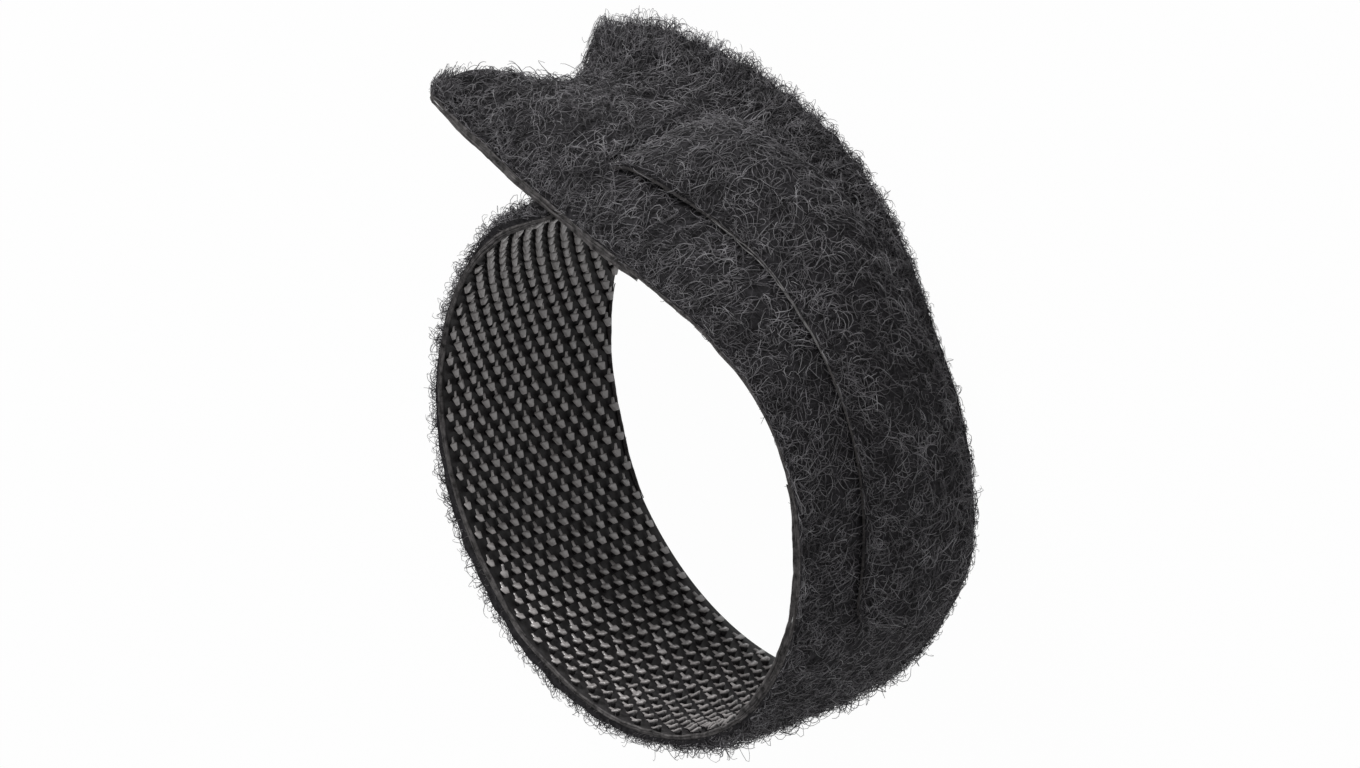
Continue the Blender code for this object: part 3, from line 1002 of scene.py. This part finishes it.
class TIE_OT_pile(bpy.types.Operator):
    """Napped loop pile over the outer face"""

    bl_idname = "cable_tie.pile"
    bl_label = "Pile"

    def execute(self, context):
        sizes = context.scene.tie_sizes
        colours = context.scene.tie_colours
        rng = np.random.default_rng(7)
        dark = nylon_material("dark_fibres", colours.dark_pile)
        plain = nylon_material("plain_fibres", colours.pile)
        pale = nylon_material("pale_fibres", colours.pale_pile)
        bundles = (
            ("matted_dark", MATTED, dark), ("matted", MATTED, plain), ("looped_dark", LOOPED, dark),
            ("looped", LOOPED, plain), ("looped_pale", LOOPED, pale), ("flyaway", FLYAWAY, plain),
            ("fringe_dark", FRINGE, dark), ("fringe", FRINGE, plain), ("fringe_pale", FRINGE, pale),
        )
        for name, kind, material in bundles:
            thickness = sizes.fibre * (0.75 if kind in (FLYAWAY, FRINGE) else 1)
            few = kind is FLYAWAY or name == "fringe_pale"
            count = sizes.pile_fibres // 2 if few else sizes.pile_fibres
            fibres_piece(f"pile_{name}", pile_paths(rng, count, sizes, kind), thickness, material)
        return {"FINISHED"}


class TIE_OT_edge_fibres(bpy.types.Operator):
    """Frayed ends along the cut edges"""

    bl_idname = "cable_tie.edge_fibres"
    bl_label = "Edge Fibres"

    def execute(self, context):
        sizes = context.scene.tie_sizes
        colours = context.scene.tie_colours
        rng = np.random.default_rng(23)
        count = sizes.edge_fibres
        u = rng.uniform(0, STRAP_END, count)
        side = np.where(rng.random(count) < 0.5, -1.0, 1.0)
        half = FORM.half(u)
        length = rng.gamma(2, 0.00010, count) + 0.0001
        heading = side * rng.uniform(0.1, 1.2, count) + rng.normal(0, 0.5, count)
        bend = rng.normal(0, 2.0, count)
        root = rng.uniform(0.1, 1.0, count) * sizes.backing
        rise = rng.normal(0.3, 0.5, count)
        paths = np.zeros((count, FIBRE_POINTS, 3))
        x = side * (half - 0.0001)
        step = length / (FIBRE_POINTS - 1)
        for k in range(FIBRE_POINTS):
            if k:
                turn = heading + bend * k / (FIBRE_POINTS - 1)
                u = u + step * np.cos(turn)
                x = x + step * np.sin(turn)
            depth = root + rise * step * k
            paths[:, k] = FORM.place(np.clip(u, -0.001, STRAP_END + 0.001), x / half, depth)
        paths[:, :, 2] = np.maximum(paths[:, :, 2], FIBRE_REST)
        material = nylon_material("frayed_edge", colours.cut_edge)
        fibres_piece("frayed_edge", paths, sizes.fibre * 0.8, material)
        return {"FINISHED"}


# Stage

def area_light(name, place, aim, power):
    """A soft round light at a place, turned towards its aim."""
    data = bpy.data.lights.new(name, "AREA")
    data.shape = "DISK"
    data.size = LIGHT_SIZE
    data.energy = power
    lamp = new_object(name, data)
    back = (Vector(place) - Vector(aim)).normalized()
    lamp.matrix_world = Matrix.Translation(place) @ back.to_track_quat("Z", "Y").to_matrix().to_4x4()


def white_material():
    """Pale floor: white to the camera and in reflections, with a faint share of the object's shadow."""
    material = bpy.data.materials.new("pale_floor")
    material.use_nodes = True
    tree = material.node_tree
    tree.nodes.clear()
    output = add_node(tree, "ShaderNodeOutputMaterial")
    diffuse = add_node(tree, "ShaderNodeBsdfDiffuse", Color=(0.8, 0.8, 0.8, 1))
    white = add_node(tree, "ShaderNodeEmission", Color=(1, 1, 1, 1), Strength=1.0)
    rays = add_node(tree, "ShaderNodeLightPath")
    share = add_node(tree, "ShaderNodeMath", operation="MULTIPLY")
    share.inputs[1].default_value = FLOOR_WHITE
    seen = add_node(tree, "ShaderNodeMath", operation="MAXIMUM")
    mix = add_node(tree, "ShaderNodeMixShader")
    tree.links.new(rays.outputs["Is Camera Ray"], seen.inputs[0])
    tree.links.new(rays.outputs["Is Glossy Ray"], seen.inputs[1])
    tree.links.new(seen.outputs[0], share.inputs[0])
    tree.links.new(share.outputs[0], mix.inputs["Fac"])
    tree.links.new(diffuse.outputs[0], mix.inputs[1])
    tree.links.new(white.outputs[0], mix.inputs[2])
    tree.links.new(mix.outputs[0], output.inputs["Surface"])
    return material


class TIE_OT_stage(bpy.types.Operator):
    """Floor, soft lights and the camera at the photograph's angle"""

    bl_idname = "cable_tie.stage"
    bl_label = "Stage"

    def execute(self, context):
        scene = context.scene
        scene.view_settings.view_transform = "Standard"
        world = bpy.data.worlds.new("studio")
        scene.world = world
        world.use_nodes = True
        tree = world.node_tree
        sky = tree.nodes["Background"]
        sky.inputs["Color"].default_value = (1, 1, 1, 1)
        rays = add_node(tree, "ShaderNodeLightPath")
        level = add_node(tree, "ShaderNodeMapRange")
        level.inputs["To Min"].default_value = SKY_LEVEL
        level.inputs["To Max"].default_value = 1.0
        tree.links.new(rays.outputs["Is Camera Ray"], level.inputs["Value"])
        tree.links.new(level.outputs["Result"], sky.inputs["Strength"])

        bm = bmesh.new()
        bmesh.ops.create_grid(bm, x_segments=1, y_segments=1, size=2)
        mesh = bpy.data.meshes.new("floor")
        bm.to_mesh(mesh)
        bm.free()
        mesh.materials.append(white_material())
        floor = new_object("floor", mesh)

        up = VIEW_BACK.cross(VIEW_RIGHT).normalized()
        back = VIEW_BACK.normalized()
        right = up.cross(back)
        centre = Vector((FORM.shift[0], FORM.shift[1], WIDTH))
        aim = (centre + right * (PHOTO_SIZE[0] / 2 - RING_CENTRE_PIXEL[0]) / PHOTO_SCALE
               + up * (RING_CENTRE_PIXEL[1] - PHOTO_SIZE[1] / 2) / PHOTO_SCALE)
        lens = bpy.data.cameras.new("camera")
        lens.sensor_width = 36
        lens.lens = 36 * CAMERA_DISTANCE * PHOTO_SCALE / PHOTO_SIZE[0]
        lens.clip_start = 0.01
        lens.clip_end = 20
        camera = new_object("camera", lens)
        turn = Matrix((right, up, back)).transposed().to_4x4()
        camera.matrix_world = Matrix.Translation(aim + back * CAMERA_DISTANCE) @ turn
        scene.camera = camera

        for name, rightward, upward, forward, power in LIGHTS:
            area_light(name, centre + up * upward + back * forward + right * rightward, centre, power)
        return {"FINISHED"}


STEPS = (TIE_OT_stage, TIE_OT_backing, TIE_OT_edge_threads, TIE_OT_hooks, TIE_OT_pile,
         TIE_OT_edge_fibres)


class TIE_PT_panel(bpy.types.Panel):
    """Cable tie tools"""

    bl_idname = "TIE_PT_panel"
    bl_label = "Cable Tie"
    bl_space_type = "VIEW_3D"
    bl_region_type = "UI"
    bl_category = "Cable Tie"

    def draw(self, context):
        layout = self.layout
        for group in (context.scene.tie_sizes, context.scene.tie_colours):
            for name in group.__annotations__:
                layout.prop(group, name)
        for step in STEPS:
            layout.operator(step.bl_idname)


CLASSES = (TieSizes, TieColours) + STEPS + (TIE_PT_panel,)


def register():
    """Adds the tools, and the tie's sizes and colours, to the scene."""
    for item in CLASSES:
        bpy.utils.register_class(item)
    bpy.types.Scene.tie_sizes = PointerProperty(type=TieSizes)
    bpy.types.Scene.tie_colours = PointerProperty(type=TieColours)


def unregister():
    """Takes them away again."""
    del bpy.types.Scene.tie_colours
    del bpy.types.Scene.tie_sizes
    for item in reversed(CLASSES):
        bpy.utils.unregister_class(item)


def main():
    """Builds every piece in order."""
    register()
    bpy.ops.cable_tie.stage()
    bpy.ops.cable_tie.backing()
    bpy.ops.cable_tie.edge_threads()
    bpy.ops.cable_tie.hooks()
    bpy.ops.cable_tie.pile()
    bpy.ops.cable_tie.edge_fibres()


if __name__ == "__main__":
    main()
